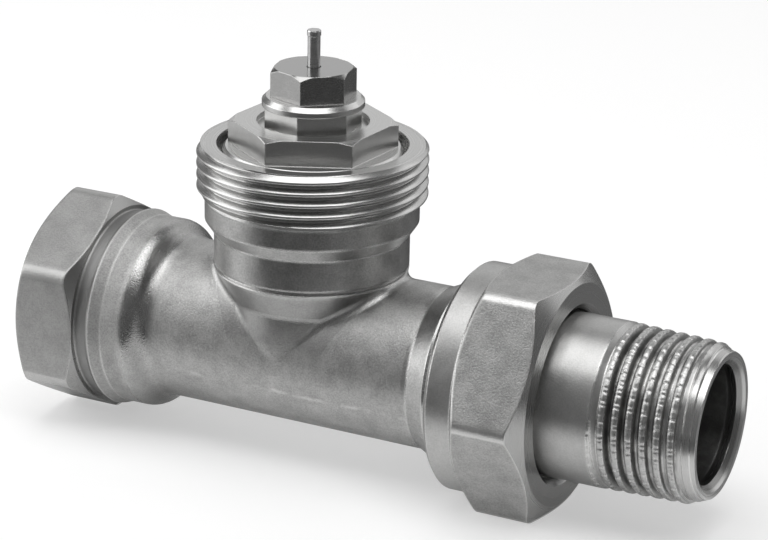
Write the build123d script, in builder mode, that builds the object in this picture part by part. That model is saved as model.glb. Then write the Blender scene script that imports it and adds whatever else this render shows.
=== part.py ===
from build123d import *
import os
from math import sqrt

# Straight radiator valve for half-inch pipe, millimetres.
# Origin: centre of the inlet mouth. +X runs along the pipe to the radiator tail, +Z up the neck.

# Standard threads, each drawn plain at the diameter that the CAD surface stands for
bsp_half_major = 20.955
bsp_half_minor = 18.631
union_pitch_diameter = 25.279
head_thread_major = 30.0
bonnet_thread_pitch_diameter = 21.35
housing_thread_pitch_diameter = 11.35
gland_thread_pitch_diameter = 7.513
stem_thread_diameter = 2.0

# Clearances
thread_clearance = 0.05
running_clearance = 0.05
seal_clearance = 0.03
seat_clearance = 0.03
recess_clearance = 0.73

# Pipe run
tail_reach = 29.0
inlet_to_neck = 37.5
neck_to_outlet = 28.5
barrel_proud = 0.05
waterway_radius = 8.0

# Inlet end
inlet_hex_flats = 27.0
inlet_hex_length = 8.7
inlet_hex_turn = 30
inlet_corner_fillet = 2.5
hex_crown_slope = 0.6
inlet_groove_radius = 12.9
inlet_groove_width = 1.75
collar_radius = 13.4
collar_edge = 0.25
collar_width = 1.9
shoulder_radius = 12.8
shoulder_width = 2.8
shoulder_fall = 4.0
inlet_thread_length = 14.0
inlet_thread_countersink = 1.3

# Outlet end of the body
flare_length = 2.9
flare_radius = 12.1
flare_land = 1.4
outlet_relief_radius = 11.6
outlet_relief_width = 1.2
outlet_lead_chamfer = 0.8
cone_mouth_radius = 10.9
cone_inner_radius = 8.6
cone_length = 3.2

# Upright branch and neck, heights above the pipe axis
branch_radius = 10.65
branch_fillet = 1.0
branch_flare_start = 7.0
flare_fillet = 1.0
neck_bottom = 11.0
neck_groove_height = 0.5
neck_groove_depth = 0.45
neck_step = 2.1
neck_top = 15.7
neck_collar_step = 1.2
neck_collar_bottom = 17.5
neck_collar_top = 20.2
thread_relief_radius = 14.0
thread_bottom = 20.9
rim_height = 27.5
rim_chamfer = 0.5

# Seat inside the body
seat_floor = 0.3
seat_web_bottom = -1.5
seat_height = 1.0
seat_bore_radius = 4.5
seat_lip_width = 0.6
web_wall = 2.0
under_seat_reach = 6.5

# Bonnet, screwed into the neck
recess_radius = 12.43
recess_depth = 2.9
bonnet_flange_thickness = 2.6
bonnet_hex_flats = 19.0
bonnet_hex_height = 3.35
bonnet_hex_turn = 24.8
bonnet_crown_chamfer = 0.45
bonnet_shank_length = 7.0
bonnet_pilot_radius = 9.4
bonnet_bottom = 9.9
bonnet_floor_thickness = 2.3
spring_chamber_radius = 4.7
bonnet_well_radius = 7.3
bonnet_well_depth = 0.8
pilot_bore_bottom = 9.4

# Gland housing, screwed into the bonnet
housing_hex_flats = 11.0
housing_hex_height = 2.85
housing_hex_turn = 39.5
housing_ring_radius = 6.62
housing_ring_thickness = 1.25
housing_ring_chamfer = 0.55
housing_shank_length = 5.1
housing_bore_radius = 3.2
housing_thread_length = 5.55
housing_countersink = 0.6

# Gland nut, screwed into the housing
gland_hex_flats = 9.8
gland_hex_turn = 41.0
gland_hex_height = 3.75
gland_crown_radius = 5.0
gland_crown_depth = 0.55
gland_shank_length = 5.35
gland_cap_thickness = 1.0
gland_chamber_radius = 2.1
gland_pin_bore_radius = 0.95
gland_undercut_radius = 3.3
gland_undercut_height = 0.6

# Pin, stem and closing parts
pin_radius = 0.82
pin_tip_radius = 0.9
pin_tip_length = 0.8
pin_reach = 4.85
pin_head_radius = 1.5
pin_head_height = 0.5
pin_head_gap = 0.6
closing_stroke = 3.2
stem_radius = 1.5
stem_foot_radius = 1.0
stem_foot_reach = 0.35
clip_height = 0.5
clip_groove_radius = 1.2
clip_outer_radius = 2.6
clip_mouth_width = 1.7
retainer_radius = 4.1
retainer_thickness = 0.8
spring_wire_radius = 0.35
spring_coil_radius = 3.1
spring_turns = 7
bush_radius = 2.6
bush_flange_radius = 3.6
bush_flange_height = 0.6
disc_holder_radius = 6.2
disc_holder_plate = 1.0
disc_holder_rim_depth = 1.5
disc_radius = 5.5
disc_thickness = 1.97
disc_washer_radius = 2.8
disc_washer_thickness = 0.6
disc_nut_flats = 4.0
disc_nut_height = 1.6

# Seals
bonnet_ring_section = 0.8
bonnet_ring_rise = 3.1
housing_ring_section = 0.45
housing_ring_rise = 0.95
gland_ring_section = 0.58
gland_spacer_height = 2.0
gland_washer_height = 1.0
tail_ring_section = 0.7

# Union nut
nut_flats = 30.0
nut_corner_fillet = 2.0
nut_engagement = 5.0
nut_length = 13.8
nut_collar_radius = 14.9
nut_collar_length = 3.8
nut_collar_chamfer = 0.5
nut_face_radius = 14.4
nut_hole_radius = 11.0
nut_hole_chamfer = 0.8
nut_shoulder_thickness = 3.0
nut_thread_length = 6.6
nut_chamber_radius = 13.0

# Radiator tail
tail_radius = 10.65
tail_bore_radius = 7.65
tail_collar_radius = 11.9
tail_face_gap = 0.4
tail_thread_length = 13.7
tail_thread_relief = 0.3
tail_end_chamfer_length = 1.4
tail_rim_radius = 9.3
tail_mouth_chamfer = 0.9
tail_lug_width = 3.5
tail_lug_height = 1.3
tail_lug_recess = 7.0
tail_lug_length = 12.0
tail_groove_depth = 2.2

# Sizes that follow from the ones above
tip = 0.01
plain_edges = (GeomType.LINE, GeomType.CIRCLE)
neck_plane = Plane(origin=(inlet_to_neck, 0, 0), x_dir=(1, 0, 0), z_dir=(0, -1, 0))
underside_plane = Plane(origin=(0, 0, 0), x_dir=(1, 0, 0), z_dir=(0, 1, 0))
neck_axis = Axis(origin=(inlet_to_neck, 0, 0), direction=(0, 0, 1))
inlet_hex_reach = inlet_hex_flats / sqrt(3)
inlet_crown_length = (inlet_hex_reach - inlet_hex_flats / 2) * hex_crown_slope
groove_start = inlet_hex_length + (inlet_hex_flats / 2 - inlet_groove_radius) * hex_crown_slope
groove_end = groove_start + inlet_groove_width
collar_end = groove_end + collar_width
shoulder_end = collar_end + shoulder_width
barrel_radius = branch_radius + barrel_proud
neck_radius = branch_radius + neck_step
neck_groove_radius = neck_radius - neck_groove_depth
neck_collar_radius = neck_radius + neck_collar_step
shoulder_middle = (shoulder_radius + barrel_radius) / 2
barrel_start = shoulder_end + shoulder_fall
body_length = inlet_to_neck + neck_to_outlet
overall_length = body_length + tail_reach
nut_left = body_length - nut_engagement
nut_right = nut_left + nut_length
nut_reach = nut_flats / sqrt(3)
nut_hex_left = nut_left + nut_collar_length
flare_end = nut_left - flare_land
flare_start = flare_end - flare_length
relief_end = nut_left + outlet_relief_width
outlet_thread_radius = union_pitch_diameter / 2 - thread_clearance
nut_bore_radius = union_pitch_diameter / 2 + thread_clearance
cone_slope = (cone_mouth_radius - cone_inner_radius) / cone_length
recess_floor = rim_height - recess_depth
bonnet_shank_radius = bonnet_thread_pitch_diameter / 2 - thread_clearance / 2
neck_bore_radius = bonnet_thread_pitch_diameter / 2 + thread_clearance / 2
pilot_bore_radius = bonnet_pilot_radius + running_clearance
bonnet_flange_radius = recess_radius - recess_clearance
bonnet_flange_top = recess_floor + bonnet_flange_thickness
bonnet_hex_top = bonnet_flange_top + bonnet_hex_height
bonnet_shank_bottom = recess_floor - bonnet_shank_length
bonnet_floor_top = bonnet_bottom + bonnet_floor_thickness
bonnet_ring_height = bonnet_bottom + bonnet_ring_rise
housing_shank_radius = housing_thread_pitch_diameter / 2 - thread_clearance / 2
bonnet_bore_radius = housing_thread_pitch_diameter / 2 + thread_clearance / 2
bonnet_well_floor = bonnet_hex_top - bonnet_well_depth
housing_bottom = bonnet_well_floor - housing_shank_length
housing_ring_bottom = bonnet_well_floor + housing_hex_height
housing_top = housing_ring_bottom + housing_ring_thickness
housing_thread_bottom = housing_top - housing_thread_length
housing_ring_height = housing_bottom + housing_ring_rise
gland_shank_radius = gland_thread_pitch_diameter / 2 - thread_clearance / 2
housing_gland_radius = gland_thread_pitch_diameter / 2 + thread_clearance / 2
gland_hex_top = housing_top + gland_hex_height
gland_bottom = housing_top - gland_shank_length
gland_chamber_top = gland_hex_top - gland_cap_thickness
pin_top = gland_hex_top + pin_reach
stem_top = gland_bottom - pin_head_gap
retainer_top = housing_bottom - seat_clearance
retainer_bottom = retainer_top - retainer_thickness
clip_bottom = retainer_top
clip_top = clip_bottom + clip_height
seat_disc_bottom = seat_height + closing_stroke + seat_clearance
holder_plate_bottom = seat_disc_bottom + disc_thickness
holder_top = holder_plate_bottom + disc_holder_plate
washer_bottom = seat_disc_bottom - disc_washer_thickness
disc_nut_bottom = washer_bottom - disc_nut_height
nut_shoulder_left = nut_right - nut_shoulder_thickness
tail_collar_left = body_length + tail_face_gap
tail_collar_right = nut_shoulder_left - seat_clearance
tail_thread_start = overall_length - tail_thread_length
tail_lug_start = overall_length - tail_lug_recess - tail_lug_length


def seat_cone_radius(x):
    """Radius of the body's outlet cone at a place along the pipe."""
    return cone_inner_radius + cone_slope * (x - (body_length - cone_length))


# Valve body: one forging with its turned ends, neck, seat and waterways
with BuildPart() as valve_body:
    # Inlet hexagon, a corner at the top and flats at the front and back
    with BuildSketch(Plane.YZ):
        inlet_hexagon = RegularPolygon(inlet_hex_flats / 2, 6, major_radius=False, rotation=inlet_hex_turn)
        fillet(inlet_hexagon.vertices(), radius=inlet_corner_fillet)
    extrude(amount=inlet_hex_length)
    with BuildSketch(Plane.XZ):
        with BuildLine():
            Polyline(
                (0, 0),
                (0, inlet_hex_flats / 2),
                (inlet_crown_length, inlet_hex_reach),
                (inlet_hex_length - inlet_crown_length, inlet_hex_reach),
                (inlet_hex_length, inlet_hex_flats / 2),
                (inlet_hex_length, 0),
                close=True,
            )
        make_face()
    revolve(axis=Axis.X, mode=Mode.INTERSECT)

    # Groove, tapered collar, shoulder that falls to the barrel in two arcs, barrel, flare and union thread
    with BuildSketch(underside_plane):
        with BuildLine():
            run_start = Polyline(
                (0, 0),
                (0, inlet_groove_radius),
                (groove_start, inlet_groove_radius),
                (groove_end - collar_edge, inlet_groove_radius),
                (groove_end, collar_radius - collar_edge),
                (groove_end + collar_edge, collar_radius),
                (collar_end, shoulder_radius),
                (shoulder_end, shoulder_radius),
            )
            shoulder_arc = TangentArc(
                run_start @ 1, ((shoulder_end + barrel_start) / 2, shoulder_middle), tangent=(1, 0)
            )
            TangentArc(shoulder_arc @ 1, (barrel_start, barrel_radius), tangent=shoulder_arc % 1)
            Polyline(
                (barrel_start, barrel_radius),
                (flare_start, barrel_radius),
                (flare_end, flare_radius),
                (nut_left, flare_radius),
                (nut_left, outlet_relief_radius),
                (relief_end, outlet_relief_radius),
                (relief_end, outlet_thread_radius),
                (body_length - outlet_lead_chamfer, outlet_thread_radius),
                (body_length, outlet_thread_radius - outlet_lead_chamfer),
                (body_length, 0),
                (0, 0),
            )
        make_face()
    revolve(axis=Axis.X)

    # Upright branch: a cylinder almost as wide as the barrel, so that the two meet in a V
    with BuildSketch():
        with Locations((inlet_to_neck, 0)):
            Circle(branch_radius)
    extrude(amount=neck_top)
    fillet([edge for edge in valve_body.edges(Select.NEW) if edge.geom_type not in plain_edges], radius=branch_fillet)

    # Flare of the branch up to the neck
    with BuildSketch(neck_plane):
        with BuildLine():
            Polyline(
                (0, branch_flare_start),
                (branch_radius, branch_flare_start),
                (neck_radius, neck_bottom),
                (neck_radius, neck_top),
                (0, neck_top),
                close=True,
            )
        make_face()
    revolve(axis=neck_axis)
    fillet([edge for edge in valve_body.edges(Select.NEW) if edge.geom_type not in plain_edges], radius=flare_fillet)

    # Line turned round the foot of the neck
    with BuildSketch(neck_plane):
        with BuildLine():
            Polyline(
                (neck_groove_radius, neck_bottom),
                (neck_radius, neck_bottom),
                (neck_radius, neck_bottom + neck_groove_height),
                (neck_groove_radius, neck_bottom + neck_groove_height),
                close=True,
            )
        make_face()
    revolve(axis=neck_axis, mode=Mode.SUBTRACT)

    # Neck collar and the thread for the control head
    with BuildSketch(neck_plane):
        with BuildLine():
            Polyline(
                (0, neck_top),
                (neck_radius, neck_top),
                (neck_collar_radius, neck_collar_bottom),
                (neck_collar_radius, neck_collar_top),
                (thread_relief_radius, neck_collar_top),
                (thread_relief_radius, thread_bottom),
                (head_thread_major / 2, thread_bottom + rim_chamfer),
                (head_thread_major / 2, rim_height - rim_chamfer),
                (head_thread_major / 2 - rim_chamfer, rim_height),
                (0, rim_height),
                close=True,
            )
        make_face()
    revolve(axis=neck_axis)

    # Inlet thread bore and the waterway up to the wall in front of the seat chamber
    with BuildSketch(Plane.XZ):
        with BuildLine():
            Polyline(
                (0, 0),
                (0, bsp_half_minor / 2 + inlet_thread_countersink),
                (inlet_thread_countersink, bsp_half_minor / 2),
                (inlet_thread_length, bsp_half_minor / 2),
                (inlet_thread_length + inlet_thread_countersink, waterway_radius),
                (inlet_to_neck - waterway_radius - web_wall, waterway_radius),
                (inlet_to_neck - waterway_radius - web_wall, 0),
                close=True,
            )
        make_face()
    revolve(axis=Axis.X, mode=Mode.SUBTRACT)

    # Passage below the seat, the lower slice of the waterway
    with BuildSketch(Plane.YZ.offset(inlet_to_neck - waterway_radius - web_wall)):
        Circle(waterway_radius)
        with Locations((0, seat_web_bottom + waterway_radius)):
            Rectangle(2 * waterway_radius, 2 * waterway_radius, mode=Mode.SUBTRACT)
    extrude(amount=waterway_radius + web_wall + under_seat_reach, mode=Mode.SUBTRACT)

    # Seat chamber, pilot bore, bonnet thread and recess, all from the top of the neck
    with BuildSketch(neck_plane):
        with BuildLine():
            Polyline(
                (0, seat_floor),
                (waterway_radius, seat_floor),
                (waterway_radius, pilot_bore_bottom),
                (pilot_bore_radius, pilot_bore_bottom),
                (pilot_bore_radius, bonnet_shank_bottom),
                (neck_bore_radius, bonnet_shank_bottom),
                (neck_bore_radius, recess_floor),
                (recess_radius, recess_floor),
                (recess_radius, rim_height),
                (0, rim_height),
                close=True,
            )
        make_face()
    revolve(axis=neck_axis, mode=Mode.SUBTRACT)

    # Outlet waterway: full bore beyond the web, its upper slice above the web
    with BuildSketch(Plane.YZ.offset(body_length)):
        Circle(waterway_radius)
    extrude(amount=-(body_length - inlet_to_neck - under_seat_reach - web_wall), mode=Mode.SUBTRACT)
    with BuildSketch(Plane.YZ.offset(inlet_to_neck)):
        Circle(waterway_radius)
        with Locations((0, seat_floor - waterway_radius)):
            Rectangle(2 * waterway_radius, 2 * waterway_radius, mode=Mode.SUBTRACT)
    extrude(amount=under_seat_reach + web_wall, mode=Mode.SUBTRACT)

    # Raised seat lip and the hole through it
    with BuildSketch(Plane.XY.offset(seat_floor)):
        with Locations((inlet_to_neck, 0)):
            Circle(seat_bore_radius + seat_lip_width)
    extrude(amount=seat_height - seat_floor)
    with BuildSketch(Plane.XY.offset(seat_web_bottom)):
        with Locations((inlet_to_neck, 0)):
            Circle(seat_bore_radius)
    extrude(amount=seat_height - seat_web_bottom, mode=Mode.SUBTRACT)

    # Inner cone at the outlet for the tail
    with BuildSketch(Plane.XZ):
        with BuildLine():
            Polyline(
                (body_length - cone_length, 0),
                (body_length - cone_length, cone_inner_radius),
                (body_length, cone_mouth_radius),
                (body_length, 0),
                close=True,
            )
        make_face()
    revolve(axis=Axis.X, mode=Mode.SUBTRACT)
valve_body.part.label = "valve_body"


# Union nut: round collar on the left, hexagon on the right, shoulder behind the tail's collar
with BuildPart() as union_nut:
    with BuildSketch(Plane.YZ.offset(nut_left)):
        nut_hexagon = RegularPolygon(nut_flats / 2, 6, major_radius=False)
        fillet(nut_hexagon.vertices(), radius=nut_corner_fillet)
    extrude(amount=nut_right - nut_left)
    with BuildSketch(Plane.XZ):
        with BuildLine():
            Polyline(
                (nut_left, 0),
                (nut_left, nut_collar_radius - nut_collar_chamfer),
                (nut_left + nut_collar_chamfer, nut_collar_radius),
                (nut_hex_left, nut_collar_radius),
                (nut_hex_left + (nut_reach - nut_collar_radius) * hex_crown_slope, nut_reach),
                (nut_right - (nut_reach - nut_face_radius) * hex_crown_slope, nut_reach),
                (nut_right, nut_face_radius),
                (nut_right, 0),
                close=True,
            )
        make_face()
    revolve(axis=Axis.X, mode=Mode.INTERSECT)
    with BuildSketch(Plane.XZ):
        with BuildLine():
            Polyline(
                (nut_left, 0),
                (nut_left, nut_bore_radius + outlet_lead_chamfer),
                (nut_left + outlet_lead_chamfer, nut_bore_radius),
                (nut_left + nut_thread_length, nut_bore_radius),
                (nut_left + nut_thread_length, nut_chamber_radius),
                (nut_shoulder_left, nut_chamber_radius),
                (nut_shoulder_left, nut_hole_radius),
                (nut_right - nut_hole_chamfer, nut_hole_radius),
                (nut_right, nut_hole_radius + nut_hole_chamfer),
                (nut_right, 0),
                close=True,
            )
        make_face()
    revolve(axis=Axis.X, mode=Mode.SUBTRACT)
union_nut.part.label = "union_nut"


# Radiator tail: cone nose, collar, tube, taper-thread end and two inner wrench lugs
cone_tip_x = body_length - cone_length + tail_face_gap
cone_tip_radius = seat_cone_radius(cone_tip_x) - running_clearance
cone_root_radius = seat_cone_radius(tail_collar_left) - running_clearance
tail_ring_x = (cone_tip_x + body_length) / 2
tail_ring_offset = (tail_ring_section + seal_clearance) * sqrt(1 + cone_slope**2)
tail_ring_radius = seat_cone_radius(tail_ring_x) - tail_ring_offset
with BuildPart() as union_tail:
    with BuildSketch(Plane.XZ):
        with BuildLine():
            Polyline(
                (cone_tip_x, tail_bore_radius),
                (cone_tip_x, cone_tip_radius),
                (tail_collar_left, cone_root_radius),
                (tail_collar_left, tail_collar_radius),
                (tail_collar_right, tail_collar_radius),
                (tail_collar_right, tail_radius),
                (tail_thread_start, tail_radius),
                (tail_thread_start + tail_thread_relief, bsp_half_major / 2),
                (overall_length - tail_end_chamfer_length, bsp_half_major / 2),
                (overall_length, tail_rim_radius),
                (overall_length, tail_bore_radius + tail_mouth_chamfer),
                (overall_length - tail_mouth_chamfer, tail_bore_radius),
                close=True,
            )
        make_face()
    revolve(axis=Axis.X)
    with BuildSketch(Plane.XZ):
        with Locations((tail_ring_x, tail_ring_radius + tail_ring_section / 2)):
            Rectangle(2 * (tail_ring_section + seal_clearance), tail_groove_depth)
    revolve(axis=Axis.X, mode=Mode.SUBTRACT)
    with BuildSketch(Plane.YZ.offset(tail_lug_start)):
        Circle(tail_bore_radius + tip)
        Circle(tail_bore_radius - tail_lug_height, mode=Mode.SUBTRACT)
        Rectangle(2 * tail_radius, tail_lug_width, mode=Mode.INTERSECT)
    extrude(amount=tail_lug_length)
union_tail.part.label = "union_tail"

with BuildPart() as tail_o_ring:
    with BuildSketch(Plane.XZ):
        with Locations((tail_ring_x, tail_ring_radius)):
            Circle(tail_ring_section)
    revolve(axis=Axis.X)
tail_o_ring.part.label = "tail_o_ring"


# Bonnet: flange and hexagon above, threaded shank, pilot with its seal groove, spring chamber
with BuildPart() as bonnet:
    with BuildSketch(Plane(origin=(inlet_to_neck, 0, bonnet_flange_top))):
        RegularPolygon(bonnet_hex_flats / 2, 6, major_radius=False, rotation=bonnet_hex_turn)
    extrude(amount=bonnet_hex_top - bonnet_flange_top)
    with BuildSketch(neck_plane):
        crown = bonnet_hex_flats / sqrt(3)
        with BuildLine():
            Polyline(
                (0, bonnet_flange_top),
                (crown, bonnet_flange_top),
                (crown, bonnet_hex_top - bonnet_crown_chamfer),
                (crown - 2 * bonnet_crown_chamfer, bonnet_hex_top),
                (0, bonnet_hex_top),
                close=True,
            )
        make_face()
    revolve(axis=neck_axis, mode=Mode.INTERSECT)
    with BuildSketch(neck_plane):
        with BuildLine():
            Polyline(
                (0, bonnet_bottom),
                (bonnet_pilot_radius - running_clearance, bonnet_bottom),
                (bonnet_pilot_radius, bonnet_bottom + running_clearance),
                (bonnet_pilot_radius, bonnet_shank_bottom + thread_clearance),
                (bonnet_shank_radius, bonnet_shank_bottom + thread_clearance),
                (bonnet_shank_radius, recess_floor),
                (bonnet_flange_radius, recess_floor),
                (bonnet_flange_radius, bonnet_flange_top - bonnet_crown_chamfer),
                (bonnet_flange_radius - bonnet_crown_chamfer, bonnet_flange_top),
                (0, bonnet_flange_top),
                close=True,
            )
        make_face()
    revolve(axis=neck_axis)
    # Seal groove in the pilot
    with BuildSketch(neck_plane):
        with Locations((bonnet_pilot_radius - bonnet_ring_section, bonnet_ring_height)):
            Rectangle(2 * bonnet_ring_section + thread_clearance, 2 * bonnet_ring_section + thread_clearance)
    revolve(axis=neck_axis, mode=Mode.SUBTRACT)
    # Bore for the stem's bush, spring chamber, thread for the gland housing and the well round its hexagon
    with BuildSketch(neck_plane):
        with BuildLine():
            Polyline(
                (0, bonnet_bottom),
                (bush_radius, bonnet_bottom),
                (bush_radius, bonnet_floor_top),
                (spring_chamber_radius, bonnet_floor_top),
                (spring_chamber_radius, housing_bottom - seat_clearance),
                (bonnet_bore_radius, housing_bottom - seat_clearance),
                (bonnet_bore_radius, bonnet_well_floor),
                (bonnet_well_radius, bonnet_well_floor),
                (bonnet_well_radius, bonnet_hex_top),
                (0, bonnet_hex_top),
                close=True,
            )
        make_face()
    revolve(axis=neck_axis, mode=Mode.SUBTRACT)
bonnet.part.label = "bonnet"

with BuildPart() as bonnet_o_ring:
    with BuildSketch(neck_plane):
        with Locations((pilot_bore_radius - bonnet_ring_section, bonnet_ring_height)):
            Circle(bonnet_ring_section - seal_clearance)
    revolve(axis=neck_axis)
bonnet_o_ring.part.label = "bonnet_o_ring"


# Gland housing: hexagon and turned ring above the bonnet, threaded shank inside it
with BuildPart() as gland_housing:
    with BuildSketch(Plane(origin=(inlet_to_neck, 0, bonnet_well_floor))):
        RegularPolygon(housing_hex_flats / 2, 6, major_radius=False, rotation=housing_hex_turn)
    extrude(amount=housing_ring_bottom - bonnet_well_floor)
    with BuildSketch(neck_plane):
        with BuildLine():
            Polyline(
                (0, housing_bottom),
                (housing_shank_radius, housing_bottom),
                (housing_shank_radius, bonnet_well_floor),
                (0, bonnet_well_floor),
                close=True,
            )
        make_face()
        with BuildLine():
            Polyline(
                (0, housing_ring_bottom),
                (housing_ring_radius, housing_ring_bottom),
                (housing_ring_radius, housing_top - housing_ring_chamfer),
                (housing_ring_radius - housing_ring_chamfer, housing_top),
                (0, housing_top),
                close=True,
            )
        make_face()
    revolve(axis=neck_axis)
    with BuildSketch(neck_plane):
        with BuildLine():
            Polyline(
                (0, housing_bottom),
                (housing_bore_radius, housing_bottom),
                (housing_bore_radius, housing_thread_bottom),
                (housing_gland_radius, housing_thread_bottom),
                (housing_gland_radius, housing_top - housing_countersink),
                (housing_gland_radius + housing_countersink, housing_top),
                (0, housing_top),
                close=True,
            )
        make_face()
    revolve(axis=neck_axis, mode=Mode.SUBTRACT)
    # Groove for the seal against the bonnet's bore
    with BuildSketch(neck_plane):
        with Locations((housing_shank_radius - housing_ring_section, housing_ring_height)):
            Rectangle(2 * housing_ring_section + thread_clearance, 2 * housing_ring_section + thread_clearance)
    revolve(axis=neck_axis, mode=Mode.SUBTRACT)
gland_housing.part.label = "gland_housing"

with BuildPart() as housing_o_ring:
    with BuildSketch(neck_plane):
        with Locations((bonnet_bore_radius - housing_ring_section, housing_ring_height)):
            Circle(housing_ring_section - seal_clearance)
    revolve(axis=neck_axis)
housing_o_ring.part.label = "housing_o_ring"


# Gland nut: hexagon with a turned crown, threaded shank and the chamber for the pin's seals
with BuildPart() as gland_nut:
    with BuildSketch(Plane(origin=(inlet_to_neck, 0, housing_top))):
        RegularPolygon(gland_hex_flats / 2, 6, major_radius=False, rotation=gland_hex_turn)
    extrude(amount=gland_hex_top - housing_top)
    with BuildSketch(neck_plane):
        gland_reach = gland_hex_flats / sqrt(3)
        with BuildLine():
            Polyline(
                (0, housing_top),
                (gland_reach, housing_top),
                (gland_reach, gland_hex_top - gland_crown_depth),
                (gland_crown_radius, gland_hex_top),
                (0, gland_hex_top),
                close=True,
            )
        make_face()
    revolve(axis=neck_axis, mode=Mode.INTERSECT)
    with BuildSketch(neck_plane):
        with BuildLine():
            Polyline(
                (0, gland_bottom),
                (gland_shank_radius, gland_bottom),
                (gland_shank_radius, housing_top - gland_undercut_height),
                (gland_undercut_radius, housing_top - gland_undercut_height),
                (gland_undercut_radius, housing_top),
                (0, housing_top),
                close=True,
            )
        make_face()
    revolve(axis=neck_axis)
    with BuildSketch(neck_plane):
        with BuildLine():
            Polyline(
                (0, gland_bottom),
                (gland_chamber_radius, gland_bottom),
                (gland_chamber_radius, gland_chamber_top),
                (gland_pin_bore_radius, gland_chamber_top),
                (gland_pin_bore_radius, gland_hex_top),
                (0, gland_hex_top),
                close=True,
            )
        make_face()
    revolve(axis=neck_axis, mode=Mode.SUBTRACT)
gland_nut.part.label = "gland_nut"

# Two seals on the pin, the spacer between them and the washer that holds them in
gland_ring_radius = pin_radius + running_clearance + gland_ring_section
upper_ring_height = gland_chamber_top - gland_ring_section - seal_clearance
spacer_top = upper_ring_height - gland_ring_section - seal_clearance
spacer_bottom = spacer_top - gland_spacer_height
lower_ring_height = spacer_bottom - gland_ring_section - seal_clearance
gland_washer_top = lower_ring_height - gland_ring_section - seal_clearance
gland_washer_bottom = gland_washer_top - gland_washer_height

with BuildPart() as gland_o_ring_upper:
    with BuildSketch(neck_plane):
        with Locations((gland_ring_radius, upper_ring_height)):
            Circle(gland_ring_section)
    revolve(axis=neck_axis)
gland_o_ring_upper.part.label = "gland_o_ring_upper"

with BuildPart() as gland_o_ring_lower:
    with BuildSketch(neck_plane):
        with Locations((gland_ring_radius, lower_ring_height)):
            Circle(gland_ring_section)
    revolve(axis=neck_axis)
gland_o_ring_lower.part.label = "gland_o_ring_lower"

with BuildPart() as gland_spacer:
    with BuildSketch(Plane(origin=(inlet_to_neck, 0, spacer_bottom))):
        Circle(gland_chamber_radius - seal_clearance)
        Circle(pin_radius + running_clearance, mode=Mode.SUBTRACT)
    extrude(amount=gland_spacer_height)
gland_spacer.part.label = "gland_spacer"

with BuildPart() as gland_washer:
    with BuildSketch(Plane(origin=(inlet_to_neck, 0, gland_washer_bottom))):
        Circle(gland_chamber_radius)
        Circle(pin_radius + running_clearance, mode=Mode.SUBTRACT)
    extrude(amount=gland_washer_height)
gland_washer.part.label = "gland_washer"


# Actuating pin: slim shaft with a swaged tip and a head that the gland traps
with BuildPart() as actuating_pin:
    with BuildSketch(neck_plane):
        with BuildLine():
            Polyline(
                (0, stem_top),
                (pin_head_radius, stem_top),
                (pin_head_radius, stem_top + pin_head_height),
                (pin_radius, stem_top + pin_head_height),
                (pin_radius, pin_top - pin_tip_length),
                (pin_tip_radius, pin_top - pin_tip_length + pin_tip_radius - pin_radius),
                (pin_tip_radius, pin_top - 2 * (pin_tip_radius - pin_radius)),
                (pin_radius, pin_top),
                (0, pin_top),
                close=True,
            )
        make_face()
    revolve(axis=neck_axis)
actuating_pin.part.label = "actuating_pin"

# Stem: clip groove near the top, stepped foot through the disc parts
with BuildPart() as stem:
    with BuildSketch(neck_plane):
        with BuildLine():
            Polyline(
                (0, disc_nut_bottom - stem_foot_reach),
                (stem_foot_radius, disc_nut_bottom - stem_foot_reach),
                (stem_foot_radius, holder_top),
                (stem_radius, holder_top),
                (stem_radius, clip_bottom),
                (clip_groove_radius, clip_bottom),
                (clip_groove_radius, clip_top),
                (stem_radius, clip_top),
                (stem_radius, stem_top),
                (0, stem_top),
                close=True,
            )
        make_face()
    revolve(axis=neck_axis)
stem.part.label = "stem"

# Open clip in the stem's groove, above the spring's retainer
with BuildPart() as stem_clip:
    with BuildSketch(Plane(origin=(inlet_to_neck, 0, clip_bottom))):
        Circle(clip_outer_radius)
        Circle(clip_groove_radius, mode=Mode.SUBTRACT)
        with Locations((clip_outer_radius / 2, 0)):
            Rectangle(clip_outer_radius, clip_mouth_width, mode=Mode.SUBTRACT)
    extrude(amount=clip_height)
stem_clip.part.label = "stem_clip"

with BuildPart() as spring_retainer:
    with BuildSketch(neck_plane):
        retainer_lip = retainer_thickness / 2
        with BuildLine():
            Polyline(
                (stem_radius + seal_clearance, retainer_bottom - retainer_lip),
                (spring_coil_radius - spring_wire_radius - running_clearance, retainer_bottom - retainer_lip),
                (spring_coil_radius - spring_wire_radius - running_clearance, retainer_bottom),
                (retainer_radius, retainer_bottom),
                (retainer_radius, retainer_top),
                (stem_radius + seal_clearance, retainer_top),
                close=True,
            )
        make_face()
    revolve(axis=neck_axis)
spring_retainer.part.label = "spring_retainer"

# Return spring: it stands on the bonnet's floor and lifts the retainer
spring_length = retainer_bottom - bonnet_floor_top - 2 * (spring_wire_radius + seal_clearance)
spring_start = bonnet_floor_top + spring_wire_radius + seal_clearance
with BuildPart() as return_spring:
    with BuildLine(Plane(origin=(inlet_to_neck, 0, spring_start))) as spring_path:
        Helix(pitch=spring_length / spring_turns, height=spring_length, radius=spring_coil_radius)
    with BuildSketch(Plane(origin=spring_path.wires()[0] @ 0, z_dir=spring_path.wires()[0] % 0)):
        Circle(spring_wire_radius)
    sweep(path=spring_path.wires()[0], is_frenet=True)
return_spring.part.label = "return_spring"

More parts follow.
